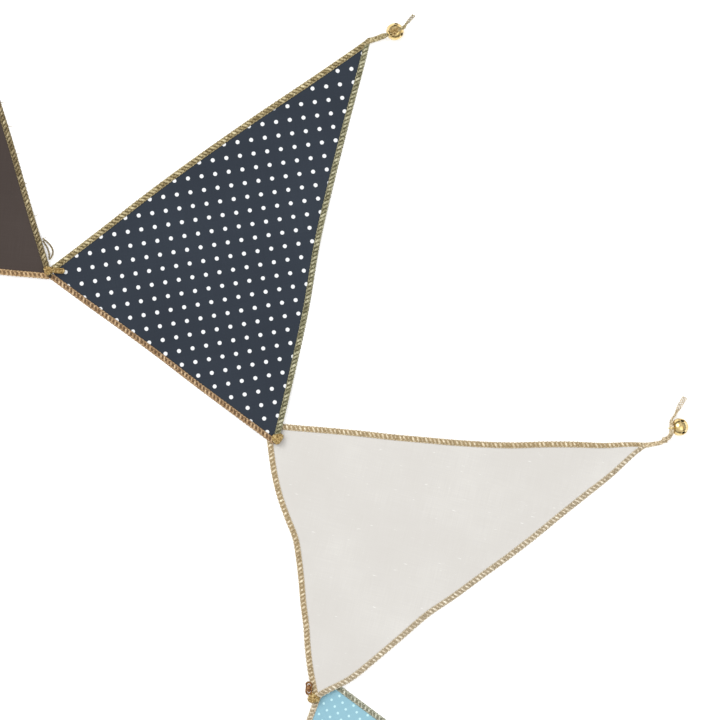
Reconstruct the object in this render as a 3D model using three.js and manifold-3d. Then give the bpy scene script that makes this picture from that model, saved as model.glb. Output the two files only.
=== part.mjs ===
// A bunting of four cloth pennants, laid flat in an arc on a table: each is overlocked all round in gold
// thread, tied to the next by its base corners, and carries a small jingle bell on a chain tail at its tip.
// Millimetres, +Z up. X runs to the right and Y away along the table, and z = 0 is the table.
import * as THREE from "three";
import { mergeVertices } from "three/addons/utils/BufferGeometryUtils.js";
import Module from "manifold-3d";

const wasm = await Module();
wasm.setup();

// Cloth, edging and thread
const CLOTH_THICKNESS = 1.0;
const EDGING_WIDTH = 3.5;
const EDGING_HEIGHT = 1.9;
const TAIL_WIDTH = 1.6; // a chain tail, across, where it is single
const GAP = 0.3; // between neighbouring pieces
const STEPS = 16; // stations along each side of a pennant

// A base corner that lies on the next pennant's edging
const CORNER_LIFT = EDGING_HEIGHT + 0.4;
const LIFT_WHOLE = 24; // round the corner the lift is whole to this radius
const LIFT_ENDS = 58; // and has died away at this one

// Jingle bell
const BELL_RADIUS = 5;
const BELL_WALL = 0.5;
const BELL_SLOT = 0.9; // width of the two crossing slots
const BELL_SLOT_HOLE = 1.1; // radius of the round hole at each slot's end
const BELL_SLOT_TOP = 0.6; // height of those holes over the bell's middle
const EYE_WIRE = 0.45; // radius of the wire of the eye
const EYE_RADIUS = 1.65; // radius of the eye, to the middle of its wire
const EYE_HEIGHT = BELL_RADIUS + TAIL_WIDTH / 2 + GAP + 0.15; // the eye's middle over the bell's middle

// Pennants, in order. at = first base corner, on the table; turn = the base's direction in degrees;
// base = length of the base, on the X axis; tip = place of the tip in the same plane. bows = how far each
// side stands out from its straight line, at even steps between its ends: ab is the base, bc and ca the
// sides that meet at the tip. waves = soft ripples of the cloth by an edge: side, middle along it,
// half length, depth into the cloth and height.
const PENNANTS = [
  {
    name: "brown",
    colour: 0x564a46,
    at: [-339.4, 65.7],
    turn: -6.93,
    base: 165.8,
    tip: [68.4, 222.5],
    bows: {
      ab: [-0.4, -0.6, -0.3, 0.3, 0.7],
      bc: [0.2, -0.4, -0.9, -0.5, 0.1],
      ca: [0.6, 1.2, 1.6, 1.1, 0.5],
    },
    waves: [{ side: "ca", middle: 120, half: 34, depth: 40, height: 1.1 }],
    tail: "over",
  },
  {
    name: "navy",
    colour: 0x3a414c,
    at: [-182.2, 50.0],
    turn: -36.56,
    base: 168.0,
    tip: [70.7, 221.4],
    bows: {
      ab: [-0.4, -0.5, -0.5, -0.5, -0.3],
      bc: [0.4, 0.3, -1.6, -1.9, -0.6],
      ca: [1.2, 2.1, 2.8, 1.9, 0.9],
    },
    waves: [
      { side: "bc", middle: 128, half: 40, depth: 34, height: 1.2 },
      { side: "ca", middle: 150, half: 36, depth: 42, height: 0.9 },
    ],
    tail: "over",
  },
  {
    name: "white",
    colour: 0xe5e2dc,
    at: [-55.1, -35.3],
    turn: -80.02,
    base: 163.2,
    tip: [50.0, 216.0],
    bows: {
      ab: [0.2, 0.4, -0.4, -2.6, -4.9, -4.9, -4.1, -3, -2.3, -1, -0.5],
      bc: [3.2, 3, 2.1, 1.1, 2.2, 2.6, 3.2, 3.2, 2.6, 2.3, 1.8],
      ca: [-2, -2.3, -3, -4.3, -4.8, -4.7, -4, -3.5, -2.6, -1.7, -1.3],
    },
    waves: [
      { side: "ab", middle: 66, half: 24, depth: 26, height: 1.3 },
      { side: "ab", middle: 116, half: 20, depth: 20, height: 0.8 },
      { side: "ca", middle: 118, half: 44, depth: 30, height: 1.0 },
      { side: "bc", middle: 70, half: 26, depth: 22, height: 0.9 },
    ],
    tail: "beside",
  },
  {
    name: "blue",
    colour: 0x9bcbdc,
    at: [-21.1, -178.3],
    turn: -110.21,
    base: 165.6,
    tip: [64.3, 224.0],
    bows: {
      ab: [0.2, 0.5, 0.7, 0.4, 0.1],
      bc: [0.6, 1.1, 0.8, 0.2, -0.3],
      ca: [0.1, -0.7, -1.3, -0.9, -0.3],
    },
    waves: [
      { side: "bc", middle: 100, half: 36, depth: 36, height: 1.1 },
      { side: "ca", middle: 140, half: 30, depth: 30, height: 0.8 },
    ],
    tail: "beside",
  },
];

// Chain tails, in the tip's own plane: x runs out past the tip, y to its left, z up from the table.
// bell = its middle, the direction in which its eye points (turned from x, then raised), and the turns
// round that axis of the thread's way and of the slots. knot = the hard knot on the tail, at its middle or
// at an angle over the bell. before, over and after = the tail's points, [x, y, z, width]: over holds the
// angles, from the bell's far side, between which the tail lies on the bell.
const TAILS = {
  over: {
    bell: { at: [8.9, -10.0], eyeTurn: -33, eyeRise: 120, threadTurn: 0, slotTurn: 50 },
    knot: { onBell: 80, long: 4.4, wide: 4.8, tall: 3.6, turn: -33 },
    over: [150, 30],
    before: [
      [-5.0, 0, 1.45, 2.9],
      [-3.7, -0.3, 1.45, 2.8],
      [-2.1, -1.7, 1.45, 2.7],
      [0.1, -3.5, 1.6, 3.1],
      [1.8, -4.7, 2.6, 2.6],
      [3.0, -5.8, 5.0, 2.6],
    ],
    after: [
      [15.2, -12.9, 5.2, 1.6],
      [16.6, -12.8, 2.6, 1.6],
      [18.4, -13.0, 1.1, 1.6],
      [20.6, -13.3, 0.85, 1.6],
      [23.1, -13.6, 0.85, 1.6],
    ],
  },
  beside: {
    bell: { at: [17.7, 4.1], eyeTurn: 168.7, eyeRise: 40, threadTurn: 90, slotTurn: 45 },
    knot: { at: [7.9, -0.5], long: 3.8, wide: 4.4, tall: 3.9, turn: 25 },
    before: [
      [-5.0, 0, 1.45, 2.9],
      [-3.0, -0.3, 1.4, 2.8],
      [2.3, -1.1, 1.4, 2.7],
      [5.3, -1.3, 1.4, 2.6],
      [7.9, -0.5, 1.6, 2.4],
      [10.0, 0.1, 2.6, 2.6],
      [11.3, 1.2, 5.2, 2.6],
      [12.4, 3.0, 8.2, 1.8],
      [13.1, 5.1, 9, 1.6],
      [13.6, 7.4, 8.2, 1.6],
      [14.7, 9.6, 5.3, 1.6],
    ],
    after: [
      [16.8, 10.8, 2.4, 1.6],
      [18.4, 12.3, 1.1, 1.6],
      [20.9, 14.7, 0.85, 1.6],
      [23.2, 16.9, 0.85, 1.6],
      [26.1, 19.4, 0.85, 1.6],
    ],
  },
};
const TAIL_STEPS = 25; // along each tail
const TIP_CUT = 5.4; // the edging ends this far before the tip, where the chain tail begins

// Knots that tie one pennant's last base corner down on the next one's first. at = middle, on the table.
const TIES = [
  { name: "brown_navy_knot", at: [-178.4, 51.2], long: 5.0, wide: 4.6, tall: 3.8, turn: 10 },
  { name: "navy_white_knot", at: [-47.1, -44.9], long: 6.9, wide: 6.2, tall: 4.2, turn: 30 },
  { name: "white_blue_knot", at: [-27.1, -193.3], long: 6.3, wide: 5.0, tall: 4.0, turn: -20 },
];
const KNOT_FLAT = 0.42; // the flat underside lies this share of the height under the middle
const KNOT_RIDGE = 0.11; // how far the turns of the thread stand out, as a share of the width

// A thin thread loop beside brown's last corner
const STRAY_THREAD = 0.9;
const STRAY_LOOP = [
  [-181.1, 69.4, 3.2, STRAY_THREAD],
  [-178.6, 67.4, 1.9, STRAY_THREAD],
  [-176.3, 64.4, 0.8, STRAY_THREAD],
  [-175.7, 61.8, 0.6, STRAY_THREAD],
  [-176.4, 59.4, 1.6, STRAY_THREAD],
  [-177.6, 57.9, 3.0, STRAY_THREAD],
];

// Chain tails turned back on themselves into a narrow ring, which lies over an edging: at = its middle,
// radius = of its two round ends, straight = length between them, slope = rise from its low side to its
// middle. One is folded down on navy's first corner, one stands out beside white's last.
const FOLDS = [
  {
    name: "brown_navy_fold",
    at: [-171.8, 51.4, 3.1],
    radius: 0.95,
    straight: 3,
    thread: 1.4,
    slope: 0,
    turn: -4,
  },
  {
    name: "white_wrapped_ring",
    at: [-29.4, -187.4, 4.4],
    radius: 1.35,
    straight: 2.8,
    thread: 1.3,
    slope: -0.95,
    turn: 90,
  },
];

// Hanging loops at the two ends of the bunting, each tied off in a knot whose middle lies inside the corner
const LOOP_OPENING = 7; // clear width of the loop
const END_KNOT = { long: 6.0, wide: 5.4, tall: 4.0, inside: 1.0 };

const thread = new THREE.MeshStandardMaterial({ color: 0xb9a477, roughness: 0.45, metalness: 0.35 });
const gold = new THREE.MeshStandardMaterial({ color: 0xd9bf6c, roughness: 0.22, metalness: 1 });

const radians = THREE.MathUtils.degToRad;
const lerp = THREE.MathUtils.lerp;

function meshOf(name, geometry, material) {
  const mesh = new THREE.Mesh(geometry, material.clone());
  mesh.name = name;
  return mesh;
}

// A closed body from an array of points and its triangles, turned round if its faces point inwards.
function body(points, triangles) {
  const volume = triangles.reduce(
    (sum, [a, b, c]) => sum + points[a].dot(points[b].clone().cross(points[c])),
    0,
  );
  const index = triangles.flatMap(([a, b, c]) => (volume < 0 ? [a, c, b] : [a, b, c]));
  const geometry = new THREE.BufferGeometry().setFromPoints(points);
  geometry.setIndex(index);
  geometry.computeVertexNormals();
  return geometry;
}

// Rings of points joined one to the next: the ends are capped, or the last ring joins the first.
function loft(rings, closed = false) {
  const sides = rings[0].length;
  const triangles = [];
  const last = closed ? rings.length : rings.length - 1;
  for (let k = 0; k < last; k++)
    for (let i = 0; i < sides; i++) {
      const here = k * sides;
      const next = ((k + 1) % rings.length) * sides;
      const j = (i + 1) % sides;
      triangles.push([here + i, here + j, next + j], [here + i, next + j, next + i]);
    }
  if (!closed)
    for (let i = 1; i < sides - 1; i++) {
      const end = (rings.length - 1) * sides;
      triangles.push([0, i + 1, i], [end, end + i, end + i + 1]);
    }
  return body(rings.flat(), triangles);
}

// Solids for cutting and joining, and back
function solidOf(geometry) {
  const bare = geometry.clone();
  bare.deleteAttribute("normal");
  bare.deleteAttribute("uv");
  const merged = mergeVertices(bare, 1e-4);
  return new wasm.Manifold(
    new wasm.Mesh({
      numProp: 3,
      vertProperties: new Float32Array(merged.attributes.position.array),
      triVerts: new Uint32Array(merged.index.array),
    }),
  );
}

// The largest body of a solid: a sliver that a cut leaves past a corner is dropped.
function geometryOf(solid) {
  const main = solid.decompose().reduce((a, b) => (b.volume() > a.volume() ? b : a));
  const mesh = main.getMesh();
  const geometry = new THREE.BufferGeometry();
  geometry.setAttribute("position", new THREE.BufferAttribute(new Float32Array(mesh.vertProperties), 3));
  geometry.setIndex(new THREE.BufferAttribute(new Uint32Array(mesh.triVerts), 1));
  geometry.computeVertexNormals();
  return geometry;
}

// A piece cut off square at a place, without all that lies outward of it, and clear of a round post there
function clearOf(geometry, { at, radius, outward }) {
  const wide = 24;
  let room = solidOf(new THREE.BoxGeometry(wide, wide, wide).translate(wide / 2, 0, 0).rotateZ(outward));
  const post = new THREE.CylinderGeometry(radius, radius, wide, 30).rotateX(Math.PI / 2);
  if (radius) room = room.add(solidOf(post));
  return geometryOf(solidOf(geometry).subtract(room.translate(at.x, at.y, 0)));
}

// A side of a pennant: it starts at a corner and runs along to the next, with the cloth on its left.
function sideOf(start, end, before, after, bows) {
  const along = end.clone().sub(start);
  const length = along.length();
  along.normalize();
  const halfAngle = (corner, one, other) => {
    const a = one.clone().sub(corner).angle() - other.clone().sub(corner).angle();
    return Math.abs(Math.atan2(Math.sin(a), Math.cos(a))) / 2;
  };
  const startHalf = halfAngle(start, end, before);
  const endHalf = halfAngle(end, start, after);
  // The side stays straight past the mitre of the edging at either end, and bows between these places
  const straight = (half) => (EDGING_WIDTH + GAP) / Math.tan(half) + GAP;
  const first = straight(startHalf);
  const last = length - straight(endHalf);
  const curve = new THREE.SplineCurve([0, ...bows, 0].map((bow, i) => new THREE.Vector2(i, bow)));
  return {
    start,
    along,
    length,
    out: new THREE.Vector2(along.y, -along.x),
    bowAt(travel) {
      const share = (travel - first) / (last - first);
      return share <= 0 || share >= 1 ? 0 : curve.getPoint(share).y;
    },
    // How far along the side the mitre meets a line that lies inset from it, at either end
    reach(inset, clear, share) {
      const near = inset / Math.tan(startHalf) + clear / Math.sin(startHalf);
      const far = inset / Math.tan(endHalf) + clear / Math.sin(endHalf);
      return lerp(near, length - far, share);
    },
    point(travel, inset) {
      const place = start.clone().addScaledVector(along, travel);
      return place.addScaledVector(this.out, this.bowAt(travel) - inset);
    },
  };
}

function sidesOf({ base, tip, bows }) {
  const a = new THREE.Vector2(0, 0);
  const b = new THREE.Vector2(base, 0);
  const c = new THREE.Vector2(...tip);
  return {
    ab: sideOf(a, b, c, c, bows.ab),
    bc: sideOf(b, c, a, a, bows.bc),
    ca: sideOf(c, a, b, b, bows.ca),
  };
}

// Height of a pennant's underside over the table: its lifted corner and its soft ripples
function riseOf(pennant, sides, lifted) {
  const corner = new THREE.Vector2(pennant.base, 0);
  const bump = (share) => (Math.abs(share) < 1 ? (1 - share * share) ** 2 : 0);
  return (place) => {
    const away = place.distanceTo(corner);
    let rise = lifted ? CORNER_LIFT * (1 - THREE.MathUtils.smoothstep(away, LIFT_WHOLE, LIFT_ENDS)) : 0;
    for (const { side, middle, half, depth, height } of pennant.waves) {
      const from = place.clone().sub(sides[side].start);
      const travel = from.dot(sides[side].along) - middle;
      const inward = Math.max(0, -from.dot(sides[side].out));
      rise += height * bump(travel / half) * bump(inward / depth);
    }
    return rise;
  };
}

// The cloth: a triangle of even steps whose sides follow the bows, which fade out across it
function clothPanel(sides, rise) {
  const inset = EDGING_WIDTH + GAP;
  const edge = (side, share) => side.reach(inset, 0, share);
  const corners = [sides.ab, sides.bc, sides.ca].map((side) => side.point(edge(side, 0), inset));
  const pull = (side, from, to, place) => {
    const both = from + to;
    if (both > 0) place.addScaledVector(side.out, side.bowAt(edge(side, to / both)) * both * both);
  };
  const points = [];
  const rows = [];
  for (let i = 0; i <= STEPS; i++) {
    rows.push([]);
    for (let j = 0; j <= STEPS - i; j++) {
      const [c, b] = [i / STEPS, j / STEPS];
      const a = 1 - b - c;
      const place = new THREE.Vector2();
      [a, b, c].forEach((share, k) => place.addScaledVector(corners[k], share));
      pull(sides.ab, a, b, place);
      pull(sides.bc, b, c, place);
      pull(sides.ca, c, a, place);
      rows[i].push(points.length / 2);
      const low = rise(place);
      points.push(new THREE.Vector3(place.x, place.y, low));
      points.push(new THREE.Vector3(place.x, place.y, low + CLOTH_THICKNESS));
    }
  }
  const triangles = [];
  const sheet = (p, q, r) => {
    triangles.push([2 * p + 1, 2 * q + 1, 2 * r + 1], [2 * p, 2 * r, 2 * q]);
  };
  const wall = (p, q) => {
    triangles.push([2 * p, 2 * q, 2 * q + 1], [2 * p, 2 * q + 1, 2 * p + 1]);
  };
  for (let i = 0; i < STEPS; i++) {
    for (let j = 0; j < STEPS - i; j++) {
      sheet(rows[i][j], rows[i][j + 1], rows[i + 1][j]);
      if (j < STEPS - i - 1) sheet(rows[i][j + 1], rows[i + 1][j + 1], rows[i + 1][j]);
    }
    wall(rows[0][i], rows[0][i + 1]);
    wall(rows[i][STEPS - i], rows[i + 1][STEPS - i - 1]);
    wall(rows[i + 1][0], rows[i][0]);
  }
  return body(points, triangles);
}

// The edging of one side: a low rounded band, flat underneath, mitred at both corners.
// Section points are shares of its width, from the outer edge inwards, and of its height.
const EDGING_SECTION = [
  [0.1, 0],
  [0, 0.35],
  [0.12, 0.8],
  [0.35, 1],
  [0.65, 1],
  [0.88, 0.8],
  [1, 0.35],
  [0.9, 0],
];
function edgingBand(side, rise) {
  const rings = [];
  for (let k = 0; k <= STEPS; k++)
    rings.push(
      EDGING_SECTION.map(([across, up]) => {
        const inset = across * EDGING_WIDTH;
        const place = side.point(side.reach(inset, GAP / 2, k / STEPS), inset);
        return new THREE.Vector3(place.x, place.y, rise(place) + up * EDGING_HEIGHT);
      }),
    );
  return loft(rings);
}

// A ring of points round a place on a thread, which runs along run
function threadRing(middle, run, width, sides) {
  const across = run.clone().cross(new THREE.Vector3(0, 0, 1)).normalize();
  const up = across.clone().cross(run);
  return Array.from({ length: sides }, (_, i) => {
    const turn = ((i + 0.5) / sides) * 2 * Math.PI;
    const spoke = across.clone().multiplyScalar(Math.cos(turn)).addScaledVector(up, Math.sin(turn));
    return middle.clone().addScaledVector(spoke, width / 2);
  });
}

// A thread along a line of points [x, y, z, width], made wider all round by clear
function threadAlong(points, steps, clear = 0, sides = 8) {
  const path = new THREE.CatmullRomCurve3(points.map(([x, y, z]) => new THREE.Vector3(x, y, z)));
  const widths = new THREE.CatmullRomCurve3(points.map(([, , , width]) => new THREE.Vector3(width, 0, 0)));
  const rings = Array.from({ length: steps + 1 }, (_, k) => {
    const width = widths.getPoint(k / steps).x + 2 * clear;
    return threadRing(path.getPoint(k / steps), path.getTangent(k / steps), width, sides);
  });
  return loft(rings);
}

// A closed hoop of thread: two round ends and the straights between them, lying flat or sloped across
function hoop({ radius, straight, thread: width, slope = 0 }, stations, sides = 8) {
  const place = (angle) => {
    const long = radius * Math.cos(angle) + (straight / 2) * Math.sign(Math.cos(angle));
    return new THREE.Vector3(long, radius * Math.sin(angle), slope * Math.sin(angle));
  };
  const rings = Array.from({ length: stations }, (_, k) => {
    const angle = ((k + 0.5) / stations) * 2 * Math.PI;
    const run = place(angle + 0.01).sub(place(angle)).normalize();
    return threadRing(place(angle), run, width, sides);
  });
  return loft(rings, true);
}

// A knot: a lump with the ridges of its crossing turns, its middle at the origin and flat underneath
function knotLump({ long, wide, tall, turn = 0 }) {
  const lump = new THREE.SphereGeometry(0.5, 12, 8).rotateX(Math.PI / 2);
  const place = lump.attributes.position;
  for (let i = 0; i < place.count; i++) {
    const spot = new THREE.Vector3().fromBufferAttribute(place, i);
    const round = 2 * Math.hypot(spot.x, spot.y);
    const ridge = 1 + KNOT_RIDGE * round * Math.cos(3 * Math.atan2(spot.y, spot.x) + 7 * spot.z);
    place.setXYZ(i, spot.x * ridge * long, spot.y * ridge * wide, Math.max(spot.z, -KNOT_FLAT) * tall);
  }
  return lump.rotateZ(radians(turn));
}

// The radius that a knot needs clear round its middle
const roomFor = ({ long, wide }) => (Math.max(long, wide) / 2) * (1 + KNOT_RIDGE) + GAP;

// The bell with its middle at the origin and its eye up: a hollow ball, two crossing slots that end in
// round holes, and a wire eye let into the top. The thread goes through the eye along threadTurn.
function bell({ threadTurn, slotTurn }) {
  const ball = (radius) => solidOf(new THREE.SphereGeometry(radius, 14, 8).rotateX(Math.PI / 2));
  const slotTall = BELL_RADIUS + BELL_SLOT_TOP + 1;
  let shell = ball(BELL_RADIUS).subtract(ball(BELL_RADIUS - BELL_WALL));
  for (const turn of [slotTurn, slotTurn + 90]) {
    const slot = new THREE.BoxGeometry(3 * BELL_RADIUS, BELL_SLOT, slotTall);
    slot.translate(0, 0, BELL_SLOT_TOP - slotTall / 2).rotateZ(radians(turn));
    const holes = new THREE.CylinderGeometry(BELL_SLOT_HOLE, BELL_SLOT_HOLE, 3 * BELL_RADIUS, 6);
    holes.rotateZ(Math.PI / 2).translate(0, 0, BELL_SLOT_TOP).rotateZ(radians(turn));
    shell = shell.subtract(solidOf(slot)).subtract(solidOf(holes));
  }
  const eye = new THREE.TorusGeometry(EYE_RADIUS, EYE_WIRE, 5, 10).rotateY(Math.PI / 2);
  eye.translate(0, 0, EYE_HEIGHT).rotateZ(radians(threadTurn));
  return geometryOf(shell.add(solidOf(eye)));
}

// A place over the bell, at the height of its eye's middle, angle degrees up from its far side
function overBell({ at, eyeTurn }, angle) {
  const out = EYE_HEIGHT * Math.cos(radians(angle));
  const up = BELL_RADIUS + EYE_HEIGHT * Math.sin(radians(angle));
  return [at[0] + out * Math.cos(radians(eyeTurn)), at[1] + out * Math.sin(radians(eyeTurn)), up];
}

function tailPoints({ bell: under, before, over, after }) {
  const arcSteps = 8;
  const across = [];
  for (let i = 0; over && i <= arcSteps; i++)
    across.push([...overBell(under, lerp(over[0], over[1], i / arcSteps)), TAIL_WIDTH]);
  return [...before, ...across, ...after];
}

// The tail, knot and bell of one tip, in a group whose x runs out past the tip
function tipGroup(pennant, outward) {
  const tail = TAILS[pennant.tail];
  const points = tailPoints(tail);
  const group = new THREE.Group();
  group.position.set(pennant.tip[0], pennant.tip[1], 0);
  group.rotation.z = outward;
  group.add(meshOf(pennant.name + "_tail", threadAlong(points, TAIL_STEPS), thread));

  const { at, eyeRise, eyeTurn } = tail.bell;
  const ball = meshOf(pennant.name + "_bell", bell(tail.bell), gold);
  ball.position.set(at[0], at[1], BELL_RADIUS);
  ball.rotation.set(0, radians(90 - eyeRise), radians(eyeTurn), "ZYX");
  group.add(ball);

  const { knot } = tail;
  const middle = knot.at ? [...knot.at, KNOT_FLAT * knot.tall] : overBell(tail.bell, knot.onBell);
  const room = solidOf(new THREE.SphereGeometry(BELL_RADIUS + GAP, 24, 16));
  const tied = solidOf(knotLump(knot).translate(...middle))
    .subtract(solidOf(threadAlong(points, TAIL_STEPS, GAP)))
    .subtract(room.translate(at[0], at[1], BELL_RADIUS));
  group.add(meshOf(pennant.name + "_tip_knot", geometryOf(tied), thread));
  return group;
}

// A hanging loop: a round eye of chain tail, tied off in a knot by the corner. x runs out past the corner.
function hangingLoop() {
  const radius = (LOOP_OPENING + TAIL_WIDTH) / 2;
  const low = (TAIL_WIDTH / 2) * Math.cos(Math.PI / 8);
  const eye = hoop({ radius, straight: 0, thread: TAIL_WIDTH }, 20);
  eye.translate(END_KNOT.long / 2 - END_KNOT.inside + radius, 0, low);
  const lump = knotLump(END_KNOT).translate(-END_KNOT.inside, 0, KNOT_FLAT * END_KNOT.tall);
  return geometryOf(solidOf(eye).add(solidOf(lump)));
}

// The direction out past the corner where one side ends and the next starts, as an angle
function outwardAngle(ending, starting) {
  return ending.along.clone().sub(starting.along).angle();
}

// One pennant, its base on the X axis from the first base corner: cloth, edging, and what hangs at its tip
function pennantGroup(pennant, order) {
  const group = new THREE.Group();
  group.position.set(pennant.at[0], pennant.at[1], 0);
  group.rotation.z = radians(pennant.turn);
  group.updateMatrixWorld(true);
  const sides = sidesOf(pennant);
  const tie = TIES[order];
  const rise = riseOf(pennant, sides, Boolean(tie));

  // What the cloth and edging leave room for: the tail at the tip and the knots at the base corners
  const outward = {
    a: outwardAngle(sides.ca, sides.ab),
    b: outwardAngle(sides.ab, sides.bc),
    c: outwardAngle(sides.bc, sides.ca),
  };
  const inFromTip = new THREE.Vector2(-TIP_CUT, 0).rotateAround(new THREE.Vector2(), outward.c);
  const rooms = [{ at: inFromTip.add(new THREE.Vector2(...pennant.tip)), radius: 0, outward: outward.c }];
  if (tie) {
    const at = group.worldToLocal(new THREE.Vector3(...tie.at, 0));
    rooms.push({ at, radius: roomFor(tie), outward: outward.b });
  }
  const hang = (name, x, direction) => {
    const loop = meshOf(name, hangingLoop(), thread);
    loop.position.x = x;
    loop.rotation.z = direction;
    group.add(loop);
    const inside = new THREE.Vector2(-END_KNOT.inside, 0).rotateAround(new THREE.Vector2(), direction);
    rooms.push({ at: inside.setX(inside.x + x), radius: roomFor(END_KNOT), outward: direction });
  };
  if (order === 0) hang("start_loop", 0, outward.a);
  if (!tie) hang("end_loop", pennant.base, outward.b);
  const trimmed = (geometry) => rooms.reduce(clearOf, geometry);

  const cloth = new THREE.MeshStandardMaterial({ color: pennant.colour, roughness: 0.9, metalness: 0 });
  group.add(meshOf(pennant.name + "_panel", trimmed(clothPanel(sides, rise)), cloth));
  for (const [key, name] of Object.entries({ ab: "_base_edging", bc: "_far_edging", ca: "_near_edging" }))
    group.add(meshOf(pennant.name + name, trimmed(edgingBand(sides[key], rise)), thread));
  group.add(tipGroup(pennant, outward.c));
  return group;
}

const arc = new THREE.Group();
PENNANTS.forEach((pennant, order) => arc.add(pennantGroup(pennant, order)));

for (const tie of TIES) {
  const knot = meshOf(tie.name, knotLump(tie), thread);
  knot.position.set(tie.at[0], tie.at[1], CORNER_LIFT + KNOT_FLAT * tie.tall);
  arc.add(knot);
}

arc.add(meshOf("brown_stray_loop", threadAlong(STRAY_LOOP, 14, 0, 6), thread));

for (const fold of FOLDS) {
  const ring = meshOf(fold.name, hoop(fold, 14, 6), thread);
  ring.position.set(...fold.at);
  ring.rotation.z = radians(fold.turn);
  arc.add(ring);
}

// The origin: under the middle of the pennants, their edging, knots and loops, without tails and bells
const bunting = new THREE.Group();
bunting.add(arc);
bunting.updateMatrixWorld(true);
const cloths = new THREE.Box3();
arc.traverse((piece) => {
  if (piece.isMesh && !/_(tail|tip_knot|bell)$/.test(piece.name)) cloths.expandByObject(piece, true);
});
const middle = cloths.getCenter(new THREE.Vector3());
arc.position.set(-middle.x, -middle.y, 0);

export default bunting;
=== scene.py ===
"""A bunting of four cloth pennants that lies flat on a table: plain brown, navy with white dots, off-white,
and light blue with small pale dots. Each is overlocked all round in gold thread, tied to the next by its base
corners, and carries a small jingle bell on a chain tail at its tip. All sizes are in millimetres until they
go into a mesh."""

import bpy
import numpy as np
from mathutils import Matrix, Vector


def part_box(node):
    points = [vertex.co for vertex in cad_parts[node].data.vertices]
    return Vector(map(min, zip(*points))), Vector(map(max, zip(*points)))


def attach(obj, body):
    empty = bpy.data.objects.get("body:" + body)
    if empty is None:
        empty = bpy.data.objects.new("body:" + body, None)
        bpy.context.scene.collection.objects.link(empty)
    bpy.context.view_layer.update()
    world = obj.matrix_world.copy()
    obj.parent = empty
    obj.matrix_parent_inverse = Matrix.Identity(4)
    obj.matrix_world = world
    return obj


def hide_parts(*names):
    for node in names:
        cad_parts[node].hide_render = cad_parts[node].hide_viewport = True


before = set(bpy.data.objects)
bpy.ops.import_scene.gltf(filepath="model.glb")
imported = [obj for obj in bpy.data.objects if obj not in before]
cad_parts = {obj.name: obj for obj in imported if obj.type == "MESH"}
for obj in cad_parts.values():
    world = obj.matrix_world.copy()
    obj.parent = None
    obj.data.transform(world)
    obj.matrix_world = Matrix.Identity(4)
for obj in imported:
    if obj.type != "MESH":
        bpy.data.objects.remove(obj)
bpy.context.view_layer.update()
MM = 0.001

# Four triangular pennants, cut single from woven cotton and left unlined. They lie flat, with soft waves by
# their edges, and the last base corner of each but blue lies on the next one's first, with a knot round both.
# Each was cut as one triangle, and the machine's edging holds its cut edge.

# at = first base corner, on the table from the middle of the view; turn = the base's direction in degrees;
# base = its length; tip = place of the tip from there. ab is the base, bc and ca the sides that meet at the
# tip, each with how far it bows out at even steps. A wave has its side, its middle along it, half its length,
# its depth into the cloth and its height. lifted = the last corner lies on the next pennant.
PENNANTS = {
    "brown": dict(
        at=(-339.4, 65.7),
        turn=-6.93,
        base=165.8,
        tip=(68.4, 222.5),
        ab=[-0.4, -0.6, -0.3, 0.3, 0.7],
        bc=[-0.2, 0.3, -0.1, -0.1, 0.1],
        ca=[0.6, 1.2, 1.6, 1.1, 0.5],
        waves=[("ca", 120, 34, 40, 1.1)],
        lifted=True,
    ),
    "navy": dict(
        at=(-182.2, 50.0),
        turn=-36.56,
        base=168.0,
        tip=(70.7, 221.4),
        ab=[-0.1, -0.5, -0.5, 0.0, 0.0],
        bc=[0.3, -0.1, -2.2, -2.1, -1.2],
        ca=[0.9, 2.1, 2.6, 2.3, 1.0],
        waves=[("bc", 128, 40, 34, 1.2), ("ca", 150, 36, 42, 0.9)],
        lifted=True,
    ),
    "white": dict(
        at=(-55.1, -35.3),
        turn=-80.02,
        base=163.2,
        tip=(50.0, 216.0),
        ab=[0.8, 1.1, 0.3, -1.8, -4.3, -4.2, -3.4, -2.3, -1.7, -0.4, 0.2],
        bc=[3.2, 3.0, 2.1, 1.1, 2.2, 2.6, 3.2, 3.2, 2.6, 2.3, 1.8],
        ca=[-1.3, -1.4, -2.3, -3.7, -4.1, -3.9, -3.3, -2.7, -1.7, -1.0, -0.5],
        waves=[
            ("ab", 66, 24, 26, 1.3),
            ("ab", 116, 20, 20, 0.8),
            ("ca", 118, 44, 30, 1.0),
            ("bc", 70, 26, 22, 0.9),
        ],
        lifted=True,
    ),
    "blue": dict(
        at=(-21.1, -178.3),
        turn=-110.21,
        base=165.6,
        tip=(64.3, 224.0),
        ab=[0.2, 0.5, 0.7, 0.4, 0.1],
        bc=[0.6, 1.1, 0.8, 0.2, -0.3],
        ca=[0.1, -0.7, -1.3, -0.9, -0.3],
        waves=[("bc", 100, 36, 36, 1.1), ("ca", 140, 30, 30, 0.8)],
        lifted=False,
    ),
}
EDGING_WIDTH = 3.5
GAP = 0.3  # between a cloth and its edging in the solids
CORNER_LIFT = 2.3  # of a corner that lies on the next pennant
LIFT_WHOLE = 24  # the lift is whole within this radius of the corner
LIFT_ENDS = 58  # and has died away at this one
CLOTH_LOW = 0.35  # underside and top, over the table
CLOTH_HIGH = 0.95
CLOTH_INSET = 1.3  # of the cut edge, from the edging's outer line
CLOTH_STEPS = 84
CRINKLE = 0.07


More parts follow.
